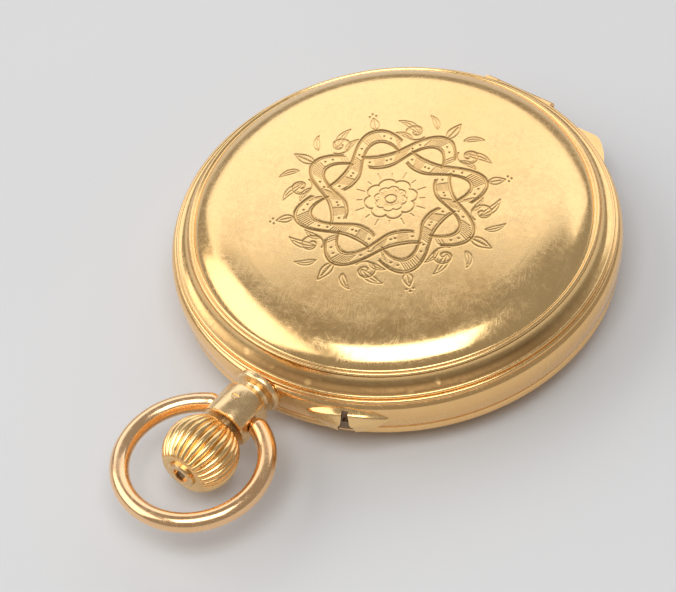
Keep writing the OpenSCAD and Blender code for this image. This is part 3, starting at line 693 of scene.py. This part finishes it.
def band():
    """The middle of the case, with both hinges' barrels, the pendant's seat and the pin's hole."""
    outline = [(22.6, 5.6), (21.6, 5.6), (21.6, 3.3), (22.45, 3.3), (22.45, SEAM_FRONT)]
    outline += [(24.25, SEAM_FRONT), (24.55, SEAM_FRONT + 0.12), (24.7, SEAM_FRONT + 0.26), (24.84, 4.6)]
    outline += arc((20.2, 6.15), 4.8, -14, 12, 16)
    outline += [(24.72, 7.45), (24.5, 7.62)] + arc((24.35, 7.9), 0.25, -50, 85, 10) + [(22.6, SEAM_BACK)]
    obj = lathe("band", outline, 720)
    plate = prism("plate", LUG, SEAM_FRONT + 0.15, 5.4)
    combine(plate, [lathe("inner", [(0, 3), (22.6, 3), (22.6, 6), (0, 6)], 360)], "DIFFERENCE")
    barrels = [hinge_rod("barrel", x, x + 3.85, FRONT_AXIS, 0.7) for x in (-10, -1.9, 6.1)]
    combine(obj, [plate] + barrels, "UNION")
    cuts = [hinge_rod("gap", s * 4 - 2.05, s * 4 + 2.05, FRONT_AXIS, 0.8, SHARP) for s in (-1, 1)]
    cuts.append(hinge_rod("pin_hole", -12, 12, FRONT_AXIS, 0.32, SHARP))
    cuts.append(hinge_rod("notch", -4.6, 4.6, BACK_AXIS, 1.05, SHARP))
    cuts.append(block("spring_slot", (-1.5, 21, 7.6), (1.5, 24, 8.6)))
    cuts.append(rod("pendant_seat", (0, -24.75, STEM_Z), (0, -27, STEM_Z), 2.72, SHARP, 96))
    cuts.append(rod("stem_hole", (0, -20, STEM_Z), (0, -26, STEM_Z), 0.95, SHARP))
    cuts.append(rod("guard_hole", GUARD_OUT * 22 + GUARD_UP, GUARD_OUT * 26 + GUARD_UP, PIN_HOLE_R, SHARP))
    combine(obj, cuts, "DIFFERENCE")
    knuckles = []
    for s in (-1, 1):
        x = s * 2.175
        low, high = (x - 0.66, BACK_AXIS[0] - 0.5, 6.2), (x + 0.66, BACK_AXIS[0] + 0.45, 7.5)
        knuckles += [hinge_rod("knuckle", x - 0.67, x + 0.67, BACK_AXIS, 0.6), block("foot", low, high)]
    combine(obj, knuckles, "UNION")
    return combine(obj, [hinge_rod("pin_hole", -5, 5, BACK_AXIS, 0.27, SHARP)], "DIFFERENCE")


dress(front_lid(), "gold_band", "front_lid", "front_cover")
dress(band(), "gold_band", "case", "case_middle")


# ---- olivette guard ----

def guard():
    """Pointed oval on the band: a rounded edge, a shallow step, a raised middle and a slot for the pin."""
    half_len, half_high, n, m = 4.7, 1.6, 96, 28
    rings = []
    for s in np.linspace(1, 0, m + 1) ** 0.6:
        rise = np.interp(1 - s, (0, 0.05, 0.1, 0.17, 0.26, 0.5, 1), (0, 0.5, 0.8, 0.92, 0.9, 1.05, 1.35))
        ring = []
        for i in range(n):
            a = i * TAU / n
            y = half_len * math.copysign(abs(math.cos(a)) ** 1.2, math.cos(a)) * s
            zz = half_high * s * math.sin(a) * (1 - 0.35 * abs(math.cos(a)) ** 3)
            r = 24.93 + rise * (1 - 0.72 * (y / half_len) ** 2)
            angle = GUARD_A + y / 25
            ring.append((r * math.cos(angle), r * math.sin(angle), GUARD_Z + zz))
        rings.append(ring)
    back = [[(x * 0.990, y * 0.990, z) for x, y, z in rings[0]]]
    verts, faces = rings_to_mesh(back + rings)
    faces += [tuple(range(n)), tuple(range(len(verts) - n, len(verts)))]
    obj = fix_normals(new_object("olivette", verts, faces, 40))
    side = Vector((-GUARD_OUT.y, GUARD_OUT.x, 0))
    half_edge = [(0.95, -3), (0.88, -0.4), (0.5, 0.2), (0.36, 1.2), (0.36, 3)]
    edge = half_edge + [(-w, h) for w, h in reversed(half_edge)]
    count = len(edge)
    verts = [tuple(GUARD_OUT * r + side * w + Vector((0, 0, GUARD_Z + h)))
             for r in (25.3, 28) for w, h in edge]
    faces = [tuple(range(count)), tuple(range(count, 2 * count))]
    faces += [(i, (i + 1) % count, count + (i + 1) % count, count + i) for i in range(count)]
    slot = fix_normals(new_object("slot", verts, faces))
    hole = rod("hole", GUARD_OUT * 24 + GUARD_UP, GUARD_OUT * 28 + GUARD_UP, PIN_HOLE_R, SHARP)
    obj.data.materials.append(MAT["gold"])
    # the slot's and hole's walls take the dark brown: painted shade in the recess
    for cutter in (slot, hole):
        cutter.data.materials.append(MAT["dirt_and_slot_shade"])
    return combine(obj, [slot, hole], "DIFFERENCE")


dress(guard(), None, "case", "olivette_guard")


# ---- pendant, bow and crown ----

def pendant():
    """Moulded foot, waisted neck and a rounded head whose two sides are flattened for the bow."""
    head_r, flat, n = 2.75, 2.45, 128
    profile = [(0.95, 24.76), (2.62, 24.76), (2.7, 24.86), (2.7, 25.12)] + arc((2.35, 25.2), 0.32, 10, 80, 6)
    profile += [(2.1, 25.56), (1.72, 25.68), (1.6, 25.95), (1.62, 26.2), (1.78, 26.42)]
    profile += [(2.05, 26.56), (2.45, 26.68), (2.66, 26.84), (head_r, 27.1), (head_r, 30.55)]
    profile += [(2.70, 30.8), (2.5, 30.97), (2.3, 31.0), (0.95, 31.0)]
    rings = []
    for r, y in profile:
        ring = []
        for k in range(n):
            a = k * TAU / n
            x, z = r * math.cos(a), r * math.sin(a)
            if y > 26.5:
                x = math.copysign(min(abs(x), flat - 0.03 * (z / head_r) ** 2), x)
            ring.append((x, -y, STEM_Z + z))
        rings.append(ring)
    verts, faces = rings_to_mesh(rings, closed=True)
    obj = fix_normals(new_object("pendant_body", verts, faces, 40))
    cuts = [rod("screw_hole", (0, -28.4, 8.2), (0, -28.4, 10), 0.47, SHARP)]
    cuts += [hinge_rod("pivot_hole", s * 1.4, s * 4, BOW_AXIS, 0.52, SHARP) for s in (-1, 1)]
    return combine(obj, cuts, "DIFFERENCE")


def bow():
    """Round wire ring, a little fuller at its two ends, which carry the pivots."""
    x_end = 2.62
    start = math.asin(x_end / BOW_R)
    angles = np.linspace(start, TAU - start, 241)
    path = [(BOW_R * math.sin(a), -BOW_Y + BOW_R * math.cos(a), STEM_Z) for a in angles]
    near = np.minimum(angles - start, TAU - start - angles)
    radii = BOW_WIRE * (1 + 0.06 * np.exp(-near * 5)) * np.minimum(1, 0.8 + near * 3)
    ring = tube("bow_ring", path, radii.tolist(), 48)
    combine(ring, [block("head_gap", (-2.56, -33, 0), (2.56, -20, 12))], "DIFFERENCE")
    pins = [hinge_rod("pin", s * 1.75, s * 3.2, BOW_AXIS, 0.5) for s in (-1, 1)]
    return combine(ring, pins, "UNION")


def crown():
    """Ball with rounded ridges that fade into a plain end disc and a short collar."""
    n = FLUTES * 14
    lean = math.degrees(math.asin(CROWN_HALF / CROWN_R))
    profile = [(CROWN_R * math.cos(math.radians(a)), CROWN_R * math.sin(math.radians(a)))
               for a in np.linspace(-lean, lean, 49)]
    rings = []
    angles = np.arange(n) * TAU / n
    for r, h in profile:
        depth = 0.36 * min(1.0, (CROWN_HALF - abs(h)) / 0.7 + 0.25)
        ridge = 1 - np.abs(np.sin(FLUTES * angles / 2)) ** 0.75
        rr = r - depth * ridge
        rings.append(np.stack([rr * np.cos(angles), rr * np.sin(angles), np.full(n, h)], 1))
    plain = [(2.2, CROWN_HALF + 0.05), (1.66, CROWN_HALF + 0.02), (1.66, CROWN_HALF - 0.35),
             (0.5, CROWN_HALF - 0.38), (0.5, -CROWN_HALF + 0.4), (1.35, -CROWN_HALF + 0.2),
             (1.35, -CROWN_HALF), (2.2, -CROWN_HALF)]
    for r, h in plain:
        rings.append(np.stack([r * np.cos(angles), r * np.sin(angles), np.full(n, h)], 1))
    verts, faces = rings_to_mesh(rings, closed=True)
    obj = fix_normals(new_object("crown_ball", verts, faces, 50))
    obj.data.transform(Matrix.Translation((0, -CROWN_Y * MM, STEM_Z * MM))
                       @ Matrix.Rotation(math.radians(90), 4, "X"))
    return obj


def crown_disc():
    """End disc with a rounded rim round the recess in which the stem's end shows."""
    profile = [(0.86, 37.95), (0.86, 38.38), (0.95, 38.45), (1.5, 38.45), (1.64, 38.32), (1.64, 37.65)]
    return along_y(lathe("crown_disc", profile + [(0.45, 37.65), (0.45, 37.95)], 96))


dress(pendant(), "gold_worn", "case", "pendant")
dress(bow(), "gold_rose", "bow", "bow")
dress(crown(), "gold", "crown", "crown")
dress(crown_disc(), "gold_worn", "crown", "crown_cap")


# ---- dial ----

DIAL_Z = 3.4
SECONDS_AT, SECONDS_Z = (10.6, 0), 3.48      # middle and height of the sunk seconds dial


def on_dial(point, angle=0.0, z=DIAL_Z):
    """Matrix that lays a flat thing on the dial's face, which looks down, turned about its own middle."""
    face = Matrix(((0, -1, 0), (-1, 0, 0), (0, 0, -1))).to_4x4()
    return Matrix.Translation((point[0] * MM, point[1] * MM, z * MM)) @ face @ Matrix.Rotation(angle, 4, "Z")


def clock_point(minutes, r, centre=(0, 0)):
    """A point on the dial at that minute: 12 o'clock is along -X and 3 o'clock along -Y."""
    a = math.pi + minutes * TAU / 60
    return centre[0] + r * math.cos(a), centre[1] + r * math.sin(a)


def dial_plate():
    """Enamel disc with a rounded edge, a hole in its middle and a sunk seconds dial with its own hole."""
    profile = [(1.05, DIAL_Z), (20.9, DIAL_Z), (21.1, 3.46), (21.2, 3.6), (21.2, 3.85), (1.05, 3.85)]
    obj = lathe("dial_enamel", profile, 360)
    sink = lathe("sink", [(0, 3), (4.6, 3), (4.6, SECONDS_Z), (0, SECONDS_Z)], 180)
    hole = lathe("hole", [(0, 2), (0.35, 2), (0.35, 5), (0, 5)], 48)
    for cutter in (sink, hole):
        cutter.data.transform(Matrix.Translation((SECONDS_AT[0] * MM, 0, 0)))
    return combine(obj, [sink, hole], "DIFFERENCE")


def join(name, parts):
    """Merge meshes of (mesh, matrix) into one object."""
    bm = bmesh.new()
    for mesh, matrix in parts:
        piece = mesh.copy()
        piece.transform(matrix)
        bm.from_mesh(piece)
        bpy.data.meshes.remove(piece)
    mesh = bpy.data.meshes.new(name)
    bm.to_mesh(mesh)
    bm.free()
    obj = bpy.data.objects.new(name, mesh)
    bpy.context.scene.collection.objects.link(obj)
    return obj


def numeral(text, size):
    """A raised numeral centred on its own origin."""
    curve = bpy.data.curves.new("numeral", "FONT")
    curve.body, curve.size, curve.extrude = text, size * MM, 0.012 * MM
    curve.align_x, curve.align_y = "CENTER", "CENTER"
    obj = bpy.data.objects.new("numeral", curve)
    bpy.context.scene.collection.objects.link(obj)
    bpy.context.view_layer.update()
    mesh = bpy.data.meshes.new_from_object(obj.evaluated_get(bpy.context.evaluated_depsgraph_get()))
    bpy.data.objects.remove(obj)
    return mesh


def bar_mesh(length, width, thick=0.024):
    """One printed bar of a track."""
    bm = bmesh.new()
    bmesh.ops.create_cube(bm, size=1)
    bmesh.ops.scale(bm, vec=(width * MM, length * MM, thick * MM), verts=bm.verts)
    mesh = bpy.data.meshes.new("mark")
    bm.to_mesh(mesh)
    bm.free()
    return mesh


def dial_marks():
    """Hour numerals, the minute track and the seconds track."""
    parts = []
    for hour in range(1, 13):
        if hour != 6:
            parts.append((numeral(str(hour), 4.1), on_dial(clock_point(hour * 5, 15.9))))
    long, short, tiny = bar_mesh(1.0, 0.2), bar_mesh(0.7, 0.07), bar_mesh(0.45, 0.05)
    for k in range(60):
        mark = long if k % 5 == 0 else short
        parts.append((mark, on_dial(clock_point(k, 18.8), -k * TAU / 60)))
        second = clock_point(k, 4.05, SECONDS_AT)
        parts.append((short if k % 5 == 0 else tiny, on_dial(second, -k * TAU / 60, SECONDS_Z)))
    for text, minutes in (("60", 0), ("15", 15), ("30", 30), ("45", 45)):
        parts.append((numeral(text, 1.25), on_dial(clock_point(minutes, 2.95, SECONDS_AT), 0, SECONDS_Z)))
    return join("dial_marks", parts)


dress(dial_plate(), "enamel", "case", "dial")
dress(dial_marks(), "ink", "case")


# ---- carried-over CAD pieces ----

CAD_LOOKS = {
    "gold_inner": ["cuvette", "bezel"],
    "gold_band": ["back_hinge_pin", "front_hinge_pin"],
    "glass": ["crystal"],
    "ruby": ["jewels"],
    "gold_worn": ["pendant_screw"],
    "steel": ["case_screws", "crown_wheel_screw", "ratchet_screw", "cannon_pinion",
              "escape_wheel", "pallet_fork", "regulator", "balance_cap", "click", "push_sleeve"],
    "steel_grained": ["crown_wheel", "ratchet_wheel", "winding_pinion", "barrel_arbor", "lock_spring",
                      "lift_spring", "mainspring", "click_spring", "setting_lever"],
    "steel_dark": ["setting_pin", "winding_stem"],
    "blued": ["hour_hand", "minute_hand", "seconds_hand", "bridge_screws", "hairspring"],
    "brass": ["hour_wheel", "minute_wheel", "mainspring_barrel", "centre_wheel", "third_wheel",
              "fourth_wheel", "balance_wheel"],
    "nickel": ["barrel_bridge", "train_bridge", "balance_cock", "pallet_cock"],
    "nickel_frosted": ["mainplate"],
}
for look, names in CAD_LOOKS.items():
    for name in names:
        node = frame["nodes"][name]
        node.data.materials.clear()
        node.data.materials.append(MAT[look])


# ---- floor, light and camera ----

def floor(half=900):
    """A flat sheet, far wider than the picture."""
    corners = [(-half, -half, 0), (half, -half, 0), (half, half, 0), (-half, half, 0)]
    obj = new_object("floor", corners, [(0, 1, 2, 3)])
    obj.data.materials.append(floor_paper("floor_paper"))


VIEW_AZ = math.radians(44)     # the camera stands this far round from the -Y side, towards +X
TARGET = Vector((-4.15, -6.36, 0))
CAMERA_AT = Vector((131.8, -147.1, 227.4))
ROLL = math.radians(-9.45)


def aim(obj, target, roll=0.0):
    """Point a camera or light at the target."""
    forward = (target - obj.location).normalized()
    turn = forward.to_track_quat("-Z", "Y").to_matrix().to_4x4()
    obj.matrix_world = Matrix.Translation(obj.location) @ turn @ Matrix.Rotation(roll, 4, "Z")


def camera():
    """A long lens that looks down at the crown's side."""
    data = bpy.data.cameras.new("camera")
    data.sensor_width, data.lens = 36.0, 142.7
    data.clip_start, data.clip_end = 0.01, 10.0
    obj = bpy.data.objects.new("camera", data)
    bpy.context.scene.collection.objects.link(obj)
    obj.location = CAMERA_AT * MM
    aim(obj, TARGET * MM, ROLL)
    bpy.context.scene.camera = obj


def softbox(name, azimuth, elevation, distance, width, height, radiance, colour=(1, 1, 1)):
    """A rectangular light that faces the watch. Azimuth 0 is the camera's side, 180 the far side."""
    data = bpy.data.lights.new(name, "AREA")
    data.shape, data.size, data.size_y = "RECTANGLE", width, height
    data.energy, data.color = math.pi * width * height * radiance, colour
    obj = bpy.data.objects.new(name, data)
    bpy.context.scene.collection.objects.link(obj)
    a = VIEW_AZ - math.pi / 2 + math.radians(azimuth)
    e = math.radians(elevation)
    obj.location = distance * Vector((math.cos(e) * math.cos(a), math.cos(e) * math.sin(a), math.sin(e)))
    aim(obj, Vector((0, 0, 0)))


def world(colour, strength):
    """Even light from all round."""
    w = bpy.data.worlds.new("studio")
    w.use_nodes = True
    w.node_tree.nodes["Background"].inputs[0].default_value = (*colour, 1)
    w.node_tree.nodes["Background"].inputs[1].default_value = strength
    bpy.context.scene.world = w


floor()
camera()
world((1.0, 0.955, 0.90), 0.33)
softbox("far_box", 170, 35, 1.3, 2.6, 0.80, 1.03, (0.97, 0.98, 1.03))
softbox("near_box", -4, 70, 1.2, 0.9, 0.62, 4.0, (0.97, 0.99, 1.0))
softbox("left_box", -100, 38, 1.2, 1.2, 0.9, 1.8, (1, 0.95, 0.9))
bpy.context.scene.view_settings.view_transform = "Standard"
